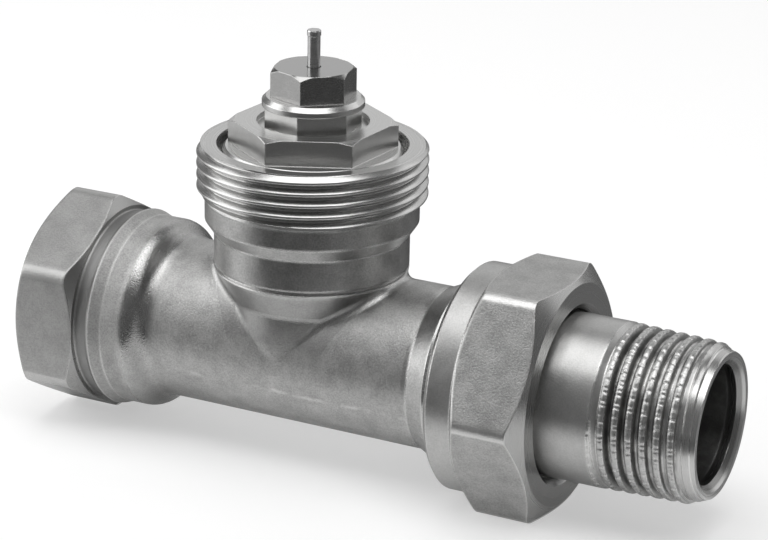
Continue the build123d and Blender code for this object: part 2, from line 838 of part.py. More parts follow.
# Guide bush pressed into the bonnet's floor, its flange below
with BuildPart() as stem_bush:
    with BuildSketch(neck_plane):
        with BuildLine():
            Polyline(
                (stem_radius + running_clearance, bonnet_bottom - bush_flange_height),
                (bush_flange_radius, bonnet_bottom - bush_flange_height),
                (bush_flange_radius, bonnet_bottom),
                (bush_radius, bonnet_bottom),
                (bush_radius, bonnet_floor_top),
                (stem_radius + running_clearance, bonnet_floor_top),
                close=True,
            )
        make_face()
    revolve(axis=neck_axis)
stem_bush.part.label = "stem_bush"

# Disc holder: a cup, its rim round the rubber disc
with BuildPart() as disc_holder:
    with BuildSketch(neck_plane):
        with BuildLine():
            Polyline(
                (stem_foot_radius + seal_clearance, holder_plate_bottom),
                (disc_radius + seal_clearance, holder_plate_bottom),
                (disc_radius + seal_clearance, holder_plate_bottom - disc_holder_rim_depth),
                (disc_holder_radius, holder_plate_bottom - disc_holder_rim_depth),
                (disc_holder_radius, holder_top),
                (stem_foot_radius + seal_clearance, holder_top),
                close=True,
            )
        make_face()
    revolve(axis=neck_axis)
disc_holder.part.label = "disc_holder"

with BuildPart() as seat_disc:
    with BuildSketch(Plane(origin=(inlet_to_neck, 0, seat_disc_bottom))):
        Circle(disc_radius)
        Circle(stem_foot_radius + seal_clearance, mode=Mode.SUBTRACT)
    extrude(amount=holder_plate_bottom - seat_disc_bottom)
seat_disc.part.label = "seat_disc"

with BuildPart() as disc_washer:
    with BuildSketch(Plane(origin=(inlet_to_neck, 0, washer_bottom))):
        Circle(disc_washer_radius)
        Circle(stem_foot_radius + seal_clearance, mode=Mode.SUBTRACT)
    extrude(amount=disc_washer_thickness)
disc_washer.part.label = "disc_washer"

with BuildPart() as disc_nut:
    with BuildSketch(Plane(origin=(inlet_to_neck, 0, disc_nut_bottom))):
        RegularPolygon(disc_nut_flats / 2, 6, major_radius=False)
        Circle(stem_thread_diameter / 2 + seal_clearance, mode=Mode.SUBTRACT)
    extrude(amount=disc_nut_height)
disc_nut.part.label = "disc_nut"


os.makedirs("parts", exist_ok=True)
export_step(valve_body.part, "parts/valve_body.step")
export_step(union_nut.part, "parts/union_nut.step")
export_step(union_tail.part, "parts/union_tail.step")
export_step(tail_o_ring.part, "parts/tail_o_ring.step")
export_step(bonnet.part, "parts/bonnet.step")
export_step(bonnet_o_ring.part, "parts/bonnet_o_ring.step")
export_step(gland_housing.part, "parts/gland_housing.step")
export_step(housing_o_ring.part, "parts/housing_o_ring.step")
export_step(gland_nut.part, "parts/gland_nut.step")
export_step(gland_o_ring_upper.part, "parts/gland_o_ring_upper.step")
export_step(gland_o_ring_lower.part, "parts/gland_o_ring_lower.step")
export_step(gland_spacer.part, "parts/gland_spacer.step")
export_step(gland_washer.part, "parts/gland_washer.step")
export_step(actuating_pin.part, "parts/actuating_pin.step")
export_step(stem.part, "parts/stem.step")
export_step(stem_clip.part, "parts/stem_clip.step")
export_step(spring_retainer.part, "parts/spring_retainer.step")
export_step(return_spring.part, "parts/return_spring.step")
export_step(stem_bush.part, "parts/stem_bush.step")
export_step(disc_holder.part, "parts/disc_holder.step")
export_step(seat_disc.part, "parts/seat_disc.step")
export_step(disc_washer.part, "parts/disc_washer.step")
export_step(disc_nut.part, "parts/disc_nut.step")
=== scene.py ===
"""Straight radiator valve: cut threads, plating and other finishes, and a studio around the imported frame."""

import logging
import math
from collections.abc import Callable
from dataclasses import dataclass
from enum import Enum
from functools import reduce

import bpy
import numpy as np
from mathutils import Matrix, Vector


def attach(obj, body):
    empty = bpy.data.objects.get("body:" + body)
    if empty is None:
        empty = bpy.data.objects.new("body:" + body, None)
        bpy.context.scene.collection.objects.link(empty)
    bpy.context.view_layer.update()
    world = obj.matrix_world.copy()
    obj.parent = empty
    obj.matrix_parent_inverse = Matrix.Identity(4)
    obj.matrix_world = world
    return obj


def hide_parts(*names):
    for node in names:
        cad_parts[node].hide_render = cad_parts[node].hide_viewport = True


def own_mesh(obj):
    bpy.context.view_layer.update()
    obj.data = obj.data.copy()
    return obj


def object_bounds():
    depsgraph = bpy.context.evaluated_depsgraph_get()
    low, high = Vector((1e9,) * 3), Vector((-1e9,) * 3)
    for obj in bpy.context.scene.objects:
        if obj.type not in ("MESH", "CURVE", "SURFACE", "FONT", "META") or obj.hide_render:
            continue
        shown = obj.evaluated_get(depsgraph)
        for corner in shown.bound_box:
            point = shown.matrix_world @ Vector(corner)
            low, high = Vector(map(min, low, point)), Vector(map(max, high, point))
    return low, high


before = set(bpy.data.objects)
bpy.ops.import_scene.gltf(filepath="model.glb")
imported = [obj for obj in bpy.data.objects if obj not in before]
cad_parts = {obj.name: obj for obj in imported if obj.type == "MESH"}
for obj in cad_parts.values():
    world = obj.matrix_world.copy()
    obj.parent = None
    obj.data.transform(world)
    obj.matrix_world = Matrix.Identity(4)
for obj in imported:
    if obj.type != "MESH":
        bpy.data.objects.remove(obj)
cad_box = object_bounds()

log = logging.getLogger("radiator_valve")

MM = 0.001
NECK_X = 37.5
PIPE_PITCH = 1.814
MERGE_DIGITS = 3
RING_TOLERANCE = 0.02
SHARP_ANGLE = math.radians(28)

Pair = tuple[float, float]
Line = tuple[Pair, ...]
Colour = tuple[float, float, float]
Slides = tuple[tuple[float, float, float], ...]
Socket = bpy.types.NodeSocket
Value = Socket | float
Shade = Socket | Colour

WHITE: Colour = (1.0, 1.0, 1.0)
BLACK_RUBBER: Colour = (0.03, 0.03, 0.032)
RAW_BRASS: Colour = (0.68, 0.52, 0.26)

# A thread's rounded crest: its points as multiples of the half width, and how far up the ridge they stand
CREST_PLACES = np.array([-1.7, -0.8, 0.0, 0.8, 1.7])
CREST_RISE = np.array([0.9, 0.985, 1.0, 0.985, 0.9])

# Where a Mix node has its two inputs and its result, for colours and for numbers
COLOUR_PORTS = (6, 7, 2)
NUMBER_PORTS = (2, 3, 0)


def scaled(colour: Colour, share: float) -> Colour:
    """Give a share or a multiple of a colour, held at 1."""
    return tuple(min(1.0, share * part) for part in colour)


def add_object(name: str, data: bpy.types.ID) -> bpy.types.Object:
    """Make an object of a mesh, lamp or camera and put it into the scene.

    Args:
        name: the object's name.
        data: its mesh, lamp or camera.

    Returns:
        The object.
    """
    made = bpy.data.objects.new(name, data)
    bpy.context.scene.collection.objects.link(made)
    return made


class Lay(Enum):
    """The axis that a piece was turned about, as the world directions (across, across, along)."""

    PIPE = ((0.0, 1.0, 0.0), (0.0, 0.0, 1.0), (1.0, 0.0, 0.0))
    NECK = ((1.0, 0.0, 0.0), (0.0, 1.0, 0.0), (0.0, 0.0, 1.0))

    @property
    def origin(self) -> np.ndarray:
        """A point of the axis in millimetres."""
        return np.array([NECK_X, 0.0, 0.0]) if self is Lay.NECK else np.zeros(3)

    @property
    def directions(self) -> np.ndarray:
        """The directions across, across and along, one a row."""
        return np.array(self.value)

    def split(self, points: np.ndarray) -> tuple[np.ndarray, np.ndarray]:
        """Give the height along the axis and the distance from it.

        Args:
            points: places in millimetres, one a row.

        Returns:
            The heights and the radii, in millimetres.
        """
        across_a, across_b, along = self.directions
        local = points - self.origin
        return local @ along, np.hypot(local @ across_a, local @ across_b)

    def move_radius(self, points: np.ndarray, radius: np.ndarray) -> np.ndarray:
        """Put points at new distances from the axis, at the same height and angle.

        Args:
            points: places in millimetres, one a row.
            radius: the new distance of each.

        Returns:
            The moved places.
        """
        along = self.directions[2]
        local = points - self.origin
        height = (local @ along)[:, None] * along
        outwards = local - height
        old = np.linalg.norm(outwards, axis=1, keepdims=True)
        return self.origin + height + outwards * radius[:, None] / old


@dataclass
class Surface:
    """A mesh as whole arrays: places in millimetres, triangles, and one normal a corner.

    A normal of zero is left for Blender to work out.
    """

    points: np.ndarray
    triangles: np.ndarray
    normals: np.ndarray

    @classmethod
    def of_node(cls, node: str) -> "Surface":
        """Copy a CAD node's mesh, with the vertices that share a place merged.

        Args:
            node: the CAD node's name.

        Returns:
            The merged copy, with the node's own corner normals.
        """
        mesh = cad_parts[node].data
        places = np.empty(len(mesh.vertices) * 3, np.float32)
        mesh.vertices.foreach_get("co", places)
        corners = np.empty(len(mesh.loops), np.int32)
        mesh.loops.foreach_get("vertex_index", corners)
        normals = np.empty(len(mesh.loops) * 3, np.float32)
        mesh.corner_normals.foreach_get("vector", normals)
        millimetres = places.reshape(-1, 3).astype(float) / MM
        rounded = np.round(millimetres, MERGE_DIGITS)
        _, first, merged = np.unique(rounded, axis=0, return_index=True, return_inverse=True)
        triangles = merged.reshape(-1)[corners].reshape(-1, 3)
        one, two, three = triangles.T
        whole = (one != two) & (two != three) & (three != one)
        return cls(millimetres[first], triangles[whole], normals.reshape(-1, 3, 3)[whole])

    @classmethod
    def threaded(cls, node: str, threads: tuple["ScrewThread", ...], slides: Slides = ()) -> "Surface":
        """Copy a CAD node's mesh and cut its threads.

        Args:
            node: the CAD node's name.
            threads: the threads.
            slides: for each ring about the pipe that moves, where it is, where it goes and what it lies beyond.

        Returns:
            The mesh with its threads.
        """
        surface = cls.of_node(node)
        for thread in threads:
            surface.reshape(thread)
        for slide in slides:
            surface.slide_ring(Lay.PIPE, *slide)
        for thread in threads:
            surface.join(thread.surface())
        return surface

    def reshape(self, thread: "ScrewThread") -> None:
        """Move the plain face in a thread's band to the line that its ridge stands on.

        Args:
            thread: the thread.
        """
        height, distance = thread.lay.split(self.points)
        low, high, inner, outer = thread.band
        moved = (height > low) & (height < high) & (distance > inner) & (distance < outer)
        self.points[moved] = thread.lay.move_radius(self.points[moved], thread.face_at(height[moved]))
        self.normals[moved[self.triangles].any(axis=1)] = 0.0

    def slide_ring(self, lay: Lay, height: float, target: float, inner: float) -> None:
        """Move one ring of vertices along the axis.

        Args:
            lay: the axis.
            height: where the ring is.
            target: where it goes.
            inner: the distance from the axis that it lies beyond.
        """
        there, distance = lay.split(self.points)
        moved = (np.abs(there - height) < RING_TOLERANCE) & (distance > inner)
        self.points[moved] += (target - height) * lay.directions[2]

    def join(self, other: "Surface") -> None:
        """Add another closed shell to this mesh.

        Args:
            other: the shell.
        """
        self.triangles = np.vstack([self.triangles, other.triangles + len(self.points)])
        self.points = np.vstack([self.points, other.points])
        self.normals = np.vstack([self.normals, other.normals])

    def piece(self, name: str, node: str, body: str, slot: str, finish: bpy.types.Material) -> bpy.types.Object:
        """Make the Blender object that stands for a CAD node, and report it.

        Args:
            name: the object's name.
            node: the CAD node that it replaces.
            body: the CAD body that it rides on.
            slot: the record's material slot; not used.
            finish: its material.

        Returns:
            The object, with its place in its mesh.
        """
        mesh = bpy.data.meshes.new(name)
        mesh.from_pydata((self.points * MM).tolist(), [], self.triangles.tolist())
        mesh.polygons.foreach_set("use_smooth", np.ones(len(self.triangles), bool))
        mesh.set_sharp_from_angle(angle=SHARP_ANGLE)
        mesh.normals_split_custom_set(self.normals.reshape(-1, 3).tolist())
        mesh.update()
        made = add_object(name, mesh)
        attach(made, body)
        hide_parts(node)
        mesh.materials.append(finish)
        log.info("%s: copy of %s, %d triangles, %s", name, node, len(self.triangles), finish.name)
        return made


@dataclass(frozen=True)
class ScrewThread:
    """A right-hand thread: one ridge whose section is carried along a helix. Sizes in millimetres.

    Its band is the lowest and highest place and the smallest and largest radius of the plain CAD face, which
    moves to the face line, or to the root where it has none. Shift is the place of the ridge's middle at the
    angle 0, thinner the clearance off each flank, and trim the line of the chamfer. The crest's and root's
    shares are parts of the pitch.
    """

    lay: Lay
    band: tuple[float, float, float, float]
    root: float
    crest: float
    pitch: float
    start: float
    end: float
    face: Line = ()
    taper: float = 0.0
    shift: float = 0.0
    thinner: float = 0.0
    trim: Line = ()
    notches: int = 0
    notch_depth: float = 0.0
    nicked_from: float = 0.6
    steps_a_turn: int = 180
    buried: float = 0.2
    crest_share: float = 0.16
    root_share: float = 0.14
    overrun: float = 0.98

    def root_at(self, height: np.ndarray) -> np.ndarray:
        """Radius of the root at a height: the root radius less the taper's share."""
        return self.root - self.taper * (height - self.start)

    def face_at(self, height: np.ndarray) -> np.ndarray:
        """Radius of the face between the ridge's turns at a height."""
        return np.interp(height, *zip(*self.face)) if self.face else self.root_at(height)

    def section(self) -> tuple[np.ndarray, np.ndarray]:
        """Half-rounded trapezium of the ridge.

        Returns:
            Offsets along the axis, and how far up the ridge each stands, from 0 at the root to 1 at the crest.
        """
        foot = self.pitch * (1 - self.root_share) / 2 - self.thinner
        top = self.pitch * self.crest_share / 2 - self.thinner / 2
        offsets = np.concatenate([[-foot], CREST_PLACES * top, [foot]])
        return offsets, np.concatenate([[0.0], CREST_RISE, [0.0]])

    def nicked(self, climb: np.ndarray, angle: np.ndarray) -> np.ndarray:
        """Lower the top of the ridge where three waves round the axis add up to more than 0.

        The first wave swells and fades in patches, and two slower ones break its rhythm.

        Args:
            climb: how far up the ridge the points of each section stand.
            angle: the angle of each section.

        Returns:
            The lowered points.
        """
        patch = 0.55 + 0.45 * np.cos(3 * angle / 2) * np.cos(angle / 5 + 1)
        beat = 0.8 * np.cos(self.notches * angle) * patch + 0.6 * np.cos(self.notches * 0.381 * angle + 2)
        beat = beat + 0.4 * np.cos(self.notches * 0.737 * angle + 1)
        top = np.clip(climb - self.nicked_from, 0, 1) / (1 - self.nicked_from)
        return climb - self.notch_depth * np.clip(beat, 0, 1) * top

    def surface(self) -> Surface:
        """Carry the section along the helix.

        At each angle the ridge's middle stands at shift + pitch x turns. Each point of the section is held
        between the two end planes, its height on the flank is read off again at the place where it was held,
        and its radius is kept inside the trim line, which stands for the chamfer at the thread's end.

        Returns:
            A closed ridge whose foot is buried in the root.
        """
        offsets, rise = self.section()
        run = offsets[-1] * self.overrun
        first, last = self.start - run - self.shift, self.end + run - self.shift
        steps = int((last - first) / self.pitch * self.steps_a_turn)
        turns = np.linspace(first / self.pitch, last / self.pitch, steps)
        middle = turns * self.pitch + self.shift
        height = np.clip(middle[:, None] + offsets, self.start, self.end)
        climb = np.interp((height - middle[:, None]).ravel(), offsets, rise).reshape(height.shape)
        angle = 2 * np.pi * turns[:, None]
        if self.notches:
            climb = self.nicked(climb, angle)
        root = self.root_at(height)
        radius = root + (self.crest - self.root) * climb
        outward = np.sign(self.crest - self.root)
        if self.trim:
            limit = np.interp(height, *zip(*self.trim))
            radius = outward * np.minimum(outward * radius, outward * limit)
        base = root[:, [-1, 0]] - outward * self.buried
        height = np.hstack([height, height[:, [-1, 0]]])
        radius = np.hstack([radius, base])
        across_a, across_b, along = self.lay.directions
        around = np.cos(angle)[..., None] * across_a + np.sin(angle)[..., None] * across_b
        grid = self.lay.origin + radius[..., None] * around + height[..., None] * along
        return tube_from_rings(grid, flip=outward < 0)


def tube_from_rings(grid: np.ndarray, flip: bool) -> Surface:
    """Close rings of points into a tube with capped ends.

    Neighbouring rings are joined by quads, each cut into two triangles, and each end ring gets a fan.

    Args:
        grid: places, as rings x points of a ring x 3.
        flip: whether the rings run the other way round.

    Returns:
        The closed tube.
    """
    rings, around, _ = grid.shape
    ring, point = np.meshgrid(np.arange(rings - 1), np.arange(around), indexing="ij")
    here, beside = ring * around + point, ring * around + (point + 1) % around
    lower = np.stack([here, here + around, beside], -1).reshape(-1, 3)
    upper = np.stack([beside, here + around, beside + around], -1).reshape(-1, 3)
    fan = np.stack([np.zeros(around - 2, int), np.arange(1, around - 1), np.arange(2, around)], -1)
    far = fan[:, ::-1] + (rings - 1) * around
    triangles = np.vstack([lower, upper, fan, far])
    if flip:
        triangles = triangles[:, ::-1]
    return Surface(grid.reshape(-1, 3), triangles, np.zeros((len(triangles), 3, 3)))


class Graph:
    """A material's node tree, with short methods for the nodes that the finishes use."""

    def __init__(self, name: str) -> None:
        """Start a material with one shader and an output.

        Args:
            name: the material's name.
        """
        self.material = bpy.data.materials.new(name)
        self.material.use_nodes = True
        self.tree = self.material.node_tree
        self.tree.nodes.clear()
        self.shader = self.tree.nodes.new("ShaderNodeBsdfPrincipled")
        output = self.tree.nodes.new("ShaderNodeOutputMaterial")
        self.tree.links.new(self.shader.outputs["BSDF"], output.inputs["Surface"])
        self.coordinates = self.tree.nodes.new("ShaderNodeTexCoord")
        self.place = self.coordinates.outputs["Object"]

    def feed(self, socket: Socket, value: Value | Colour) -> None:
        """Link a socket to another, or set its value.

        Args:
            socket: the input.
            value: what goes in.
        """
        if isinstance(value, bpy.types.NodeSocket):
            self.tree.links.new(value, socket)
        else:
            plain = isinstance(value, tuple) and socket.type == "RGBA"
            socket.default_value = (*value, 1.0) if plain else value

    def math(self, operation: str, *values: Value) -> Socket:
        """Add a Math node.

        Args:
            operation: the node's operation.
            values: its inputs, linked or plain.

        Returns:
            The result.
        """
        node = self.tree.nodes.new("ShaderNodeMath")
        node.operation = operation
        for socket, value in zip(node.inputs, values):
            self.feed(socket, value)
        return node.outputs[0]

    def product(self, *values: Value) -> Value:
        """Multiply numbers."""
        return reduce(lambda first, second: self.math("MULTIPLY", first, second), values)

    def total(self, *values: Value) -> Value:
        """Add numbers."""
        return reduce(lambda first, second: self.math("ADD", first, second), values)

    def most(self, *values: Value) -> Value:
        """Take the largest of several numbers."""
        return reduce(lambda first, second: self.math("MAXIMUM", first, second), values)

    def step(self, value: Socket, low: float, high: float) -> Socket:
        """Rise smoothly from 0 to 1.

        Args:
            value: the number that is read.
            low: where the rise begins.
            high: where it ends.

        Returns:
            The risen number.
        """
        node = self.tree.nodes.new("ShaderNodeMapRange")
        node.interpolation_type = "SMOOTHSTEP"
        self.feed(node.inputs["Value"], value)
        node.inputs["From Min"].default_value, node.inputs["From Max"].default_value = low, high
        return node.outputs["Result"]

    def above(self, length: Socket, limit: float) -> Socket:
        """Give 1 where a length is over a limit in millimetres."""
        return self.math("GREATER_THAN", length, limit * MM)

    def below(self, length: Socket, limit: float) -> Socket:
        """Give 1 where a length is under a limit in millimetres."""
        return self.math("LESS_THAN", length, limit * MM)

    def ramp(self, length: Socket, low: float, high: float) -> Socket:
        """Rise smoothly between two places in millimetres, or fall where the second is the lower one."""
        return self.step(length, low * MM, high * MM)

    def band(self, length: Socket, low: float, high: float, soft: float) -> Socket:
        """Give 1 between two places and 0 outside, with soft ends, all in millimetres."""
        return self.product(self.ramp(length, low - soft, low + soft), self.ramp(length, high + soft, high - soft))

    def noise(self, vector: Socket, size: float, detail: float = 2.0, rough: float = 0.5) -> Socket:
        """Add a noise pattern.

        Args:
            vector: where it is read.
            size: how wide its spots are, in millimetres.
            detail: how many finer layers it has.
            rough: how strong those are.

        Returns:
            The pattern, about 0.5.
        """
        node = self.tree.nodes.new("ShaderNodeTexNoise")
        self.feed(node.inputs["Vector"], vector)
        node.inputs["Scale"].default_value = 1 / (size * MM)
        node.inputs["Detail"].default_value, node.inputs["Roughness"].default_value = detail, rough
        return node.outputs["Fac"]

    def mixed(self, kind: str, ports: tuple[int, int, int], share: Value, *values: Value | Colour) -> Socket:
        """Add a Mix node.

        Args:
            kind: its type of data.
            ports: where it has that type's two inputs and its result.
            share: 0 for the first value and 1 for the second.
            values: the two values.

        Returns:
            The mixed value.
        """
        node = self.tree.nodes.new("ShaderNodeMix")
        node.data_type = kind
        self.feed(node.inputs["Factor"], share)
        for port, value in zip(ports, values):
            self.feed(node.inputs[port], value)
        return node.outputs[ports[2]]

    def mix(self, share: Value, first: Shade, second: Shade) -> Socket:
        """Mix two colours."""
        return self.mixed("RGBA", COLOUR_PORTS, share, first, second)

    def blend(self, share: Value, first: Value, second: Value) -> Socket:
        """Mix two numbers."""
        return self.mixed("FLOAT", NUMBER_PORTS, share, first, second)

    def parts(self, vector: Socket) -> tuple[Socket, Socket, Socket]:
        """Give the three numbers of a vector."""
        node = self.tree.nodes.new("ShaderNodeSeparateXYZ")
        self.feed(node.inputs[0], vector)
        return tuple(node.outputs)

    def turned_place(self, lay: Lay) -> tuple[Socket, Socket, Socket]:
        """Read the place about an axis.

        Args:
            lay: the axis.

        Returns:
            The height along it, the radius, and a vector of both for the lathe's lines.
        """
        x, y, z = self.parts(self.place)
        if lay is Lay.NECK:
            along, across_a, across_b = z, self.math("SUBTRACT", x, NECK_X * MM), y
        else:
            along, across_a, across_b = x, y, z
        squares = self.total(self.product(across_a, across_a), self.product(across_b, across_b))
        radius = self.math("SQRT", squares)
        both = self.tree.nodes.new("ShaderNodeCombineXYZ")
        self.feed(both.inputs[0], along)
        self.feed(both.inputs[1], radius)
        return along, radius, both.outputs[0]

    def leaning(self, lay: Lay, low: float, high: float) -> Socket:
        """Find the faces that lean to an axis.

        Args:
            lay: the axis.
            low: lean where the result begins to rise, with 0 for a flat along the axis and 1 for an end face.
            high: lean where it is 1.

        Returns:
            1 on leaning faces and 0 on the others.
        """
        x, _, z = self.parts(self.coordinates.outputs["Normal"])
        return self.step(self.math("ABSOLUTE", z if lay is Lay.NECK else x), low, high)

    def bump(self, height: Socket, depth: float, below: Socket) -> Socket:
        """Add a bump.

        Args:
            height: the pattern.
            depth: how deep a full step of it is, in millimetres.
            below: the normal that it goes on.

        Returns:
            The new normal.
        """
        node = self.tree.nodes.new("ShaderNodeBump")
        node.inputs["Distance"].default_value = depth * MM
        self.feed(node.inputs["Height"], height)
        self.feed(node.inputs["Normal"], below)
        return node.outputs["Normal"]

    def rounded(self, radius: Value) -> Socket:
        """Break edges by a small radius.

        Args:
            radius: the radius in millimetres.

        Returns:
            The normal of the rounded edges.
        """
        node = self.tree.nodes.new("ShaderNodeBevel")
        node.samples = 4
        self.feed(node.inputs["Radius"], self.product(radius, MM))
        return node.outputs["Normal"]

    def edges(self, normal: Socket, still: float = 0.9992, turned: float = 0.985) -> Socket:
        """Find the edges, where a rounded normal turns away from the face.

        Args:
            normal: the rounded normal.
            still: cosine of the turn where the edge begins.
            turned: cosine of the turn where it is full.

        Returns:
            1 along the edges and 0 elsewhere.
        """
        geometry = self.tree.nodes.new("ShaderNodeNewGeometry")
        dot = self.tree.nodes.new("ShaderNodeVectorMath")
        dot.operation = "DOT_PRODUCT"
        self.feed(dot.inputs[0], normal)
        self.feed(dot.inputs[1], geometry.outputs["Normal"])
        return self.step(dot.outputs["Value"], still, turned)

    def set(self, **values: Value | Colour) -> None:
        """Feed the shader's sockets, named with underscores for spaces."""
        for name, value in values.items():
            self.feed(self.shader.inputs[name.replace("_", " ")], value)


Mask = Callable[[Graph], Value]


@dataclass(frozen=True)
class PlatedBrass:
    """Nickel on brass: grainy where the forging was blasted, bright with fine rings where the lathe cut.

    Sizes are widths of spots in millimetres, and shares are parts of the two colours.
    """

    colour: Colour = (0.45, 0.449, 0.444)
    turned_colour: Colour = (0.53, 0.529, 0.523)
    blasted_roughness: float = 0.43
    turned_roughness: float = 0.24
    grain_size: float = 0.22
    grain_depth: float = 0.04
    cloud_size: float = 2.6
    swell_size: float = 6.0
    swell_depth: float = 0.12
    ring_size: float = 0.3
    ring_depth: float = 0.006
    edge_radius: float = 0.5
    turned_edge_radius: float = 0.08
    edge_highlight: float = 0.5
    edge_polish: float = 0.12
    speckle_weights: Pair = (0.34, 0.26)
    speckle_range: Pair = (0.18, 0.42)
    blasted_shares: Pair = (0.73, 1.16)
    turned_shares: Pair = (0.9, 1.08)
    highlight_share: float = 1.5
    shade_share: float = 0.58

    def material(
        self,
        name: str,
        lay: Lay,
        turned: Mask,
        polished: Mask | None = None,
        painted_highlight: Mask | None = None,
        painted_shade: Mask | None = None,
    ) -> bpy.types.Material:
        """Make the plating for one piece.

        Args:
            name: the material's name.
            lay: the axis that its rings run round.
            turned: gives 1 where the lathe cut and 0 where the forging was left.
            polished: gives 1 where the blasted surface is smooth, and less than 0 where it is coarser.
            painted_highlight: gives 1 on rounded corners where a highlight is painted into the colour.
            painted_shade: gives 1 where shade is painted into the colour, mostly in crevices and hollows.

        Returns:
            The material.
        """
        graph = Graph(name)
        cut = turned(graph)
        _, _, both = graph.turned_place(lay)
        rings = graph.noise(both, self.ring_size, detail=5.0, rough=0.7)
        fine = graph.noise(graph.place, self.grain_size, rough=0.6)
        cloud = graph.noise(graph.place, self.cloud_size, detail=3.0, rough=0.6)
        swell = graph.noise(graph.place, self.swell_size, detail=1.0)
        rounded = graph.rounded(graph.blend(cut, self.edge_radius, self.turned_edge_radius))
        # Edges, with the corners of the highlight mask, get a painted highlight in the colour and a lower roughness
        edge = graph.edges(rounded)
        if painted_highlight is not None:
            edge = graph.most(edge, painted_highlight(graph))
        speckle = graph.total(*(graph.product(*pair) for pair in zip((fine, cloud), self.speckle_weights)))
        shade = graph.step(speckle, *self.speckle_range)
        blasted = graph.mix(shade, *(scaled(self.colour, share) for share in self.blasted_shares))
        lathe = graph.mix(rings, *(scaled(self.turned_colour, share) for share in self.turned_shares))
        # Paler colour painted on edges and corners as a highlight
        painted_light = scaled(self.turned_colour, self.highlight_share)
        colour = graph.mix(graph.product(edge, self.edge_highlight), graph.mix(cut, blasted, lathe), painted_light)
        # Painted shade: the colour is darkened where the shade mask gives 1
        if painted_shade is not None:
            colour = graph.mix(painted_shade(graph), colour, scaled(self.colour, self.shade_share))
        rough = graph.blend(cloud, self.blasted_roughness - 0.04, self.blasted_roughness + 0.08)
        if polished is not None:
            smoother = graph.product(polished(graph), self.blasted_roughness - self.turned_roughness)
            rough = graph.math("SUBTRACT", rough, smoother)
        rough_turned = graph.blend(rings, self.turned_roughness - 0.06, self.turned_roughness + 0.1)
        rough = graph.blend(cut, rough, rough_turned)
        rough = graph.math("SUBTRACT", rough, graph.product(edge, self.edge_polish))
        uncut = graph.math("SUBTRACT", 1.0, cut)
        relief = graph.bump(graph.product(swell, uncut), self.swell_depth, rounded)
        relief = graph.bump(graph.product(fine, uncut), self.grain_depth, relief)
        relief = graph.bump(graph.product(rings, cut), self.ring_depth, relief)
        graph.set(Base_Color=colour, Metallic=1.0, Roughness=rough, Normal=relief)
        return graph.material


@dataclass(frozen=True)
class BareMetal:
    """Unplated metal with the fine rings or drawing lines of its making. Sizes in millimetres."""

    colour: Colour
    roughness: float
    tarnish: float = 0.15
    cloud_size: float = 1.2
    line_size: float = 0.18
    line_depth: float = 0.004
    edge_radius: float = 0.08
    edge_highlight: float = 0.4
    highlight_share: float = 1.2

    def material(self, name: str, lay: Lay) -> bpy.types.Material:
        """Make the metal for one piece.

        Args:
            name: the material's name.
            lay: the axis that its lines run round.

        Returns:
            The material.
        """
        graph = Graph(name)
        _, _, both = graph.turned_place(lay)
        lines = graph.noise(both, self.line_size, detail=4.0, rough=0.7)
        cloud = graph.noise(graph.place, self.cloud_size, detail=3.0)
        rounded = graph.rounded(self.edge_radius)
        colour = graph.mix(graph.step(cloud, 0.35, 0.65), scaled(self.colour, 1 - self.tarnish), self.colour)
        # Painted highlight: the colour is lifted to a paler one along the edges
        painted_light = graph.product(graph.edges(rounded), self.edge_highlight)
        colour = graph.mix(painted_light, colour, scaled(self.colour, self.highlight_share))
        rough = graph.blend(lines, self.roughness - 0.07, self.roughness + 0.09)
        relief = graph.bump(lines, self.line_depth, rounded)
        graph.set(Base_Color=colour, Metallic=1.0, Roughness=rough, Normal=relief)
        return graph.material


@dataclass(frozen=True)
class Moulded:
    """A moulded ring, disc or bush: satin skin with a faint flow pattern and dust. Sizes in millimetres."""

    colour: Colour
    roughness: float
    bloom: float
    skin_size: float = 0.12
    skin_depth: float = 0.006
    patch_size: float = 1.6
    edge_radius: float = 0.06
    specular: float = 0.45

    def material(self, name: str) -> bpy.types.Material:
        """Make the material, with paler bloom in patches and a soft skin relief.

        Args:
            name: the material's name.

        Returns:
            The material.
        """
        graph = Graph(name)
        skin = graph.noise(graph.place, self.skin_size, detail=3.0, rough=0.6)
        patch = graph.noise(graph.place, self.patch_size, detail=3.0, rough=0.55)
        pale = tuple(part + self.bloom * (1 - part) for part in self.colour)
        colour = graph.mix(graph.step(patch, 0.4, 0.75), self.colour, pale)
        rough = graph.blend(patch, self.roughness - 0.06, self.roughness + 0.1)
        relief = graph.bump(skin, self.skin_depth, graph.rounded(self.edge_radius))
        graph.set(Base_Color=colour, Roughness=rough, Normal=relief, Specular_IOR_Level=self.specular)
        return graph.material


@dataclass(frozen=True)
class Paper:
    """Matt paper of the floor and the cards, with a faint mottle between two shares of its shade."""

    shade: float
    shares: Pair = (0.95, 1.05)
    mottle_size: float = 2.0
    detail: float = 2.0
    roughness: float = 0.9

    def material(self, name: str, glow: Mask) -> bpy.types.Material:
        """Make the paper.

        Args:
            name: the material's name.
            glow: gives the strength of the white light that it sends out.

        Returns:
            The material.
        """
        graph = Graph(name)
        mottle = graph.noise(graph.place, self.mottle_size, detail=self.detail)
        colour = graph.mix(mottle, *((share * self.shade,) * 3 for share in self.shares))
        graph.set(Base_Color=colour, Roughness=self.roughness, Emission_Color=WHITE, Emission_Strength=glow(graph))
        return graph.material


def dress(node: str, material: bpy.types.Material) -> None:
    """Give a CAD node its finish and report it.

    Args:
        node: the CAD node's name.
        material: the finish.
    """
    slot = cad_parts[node].material_slots[0]
    slot.material = material
    log.info("%s: CAD shape, %s", node, material.name)


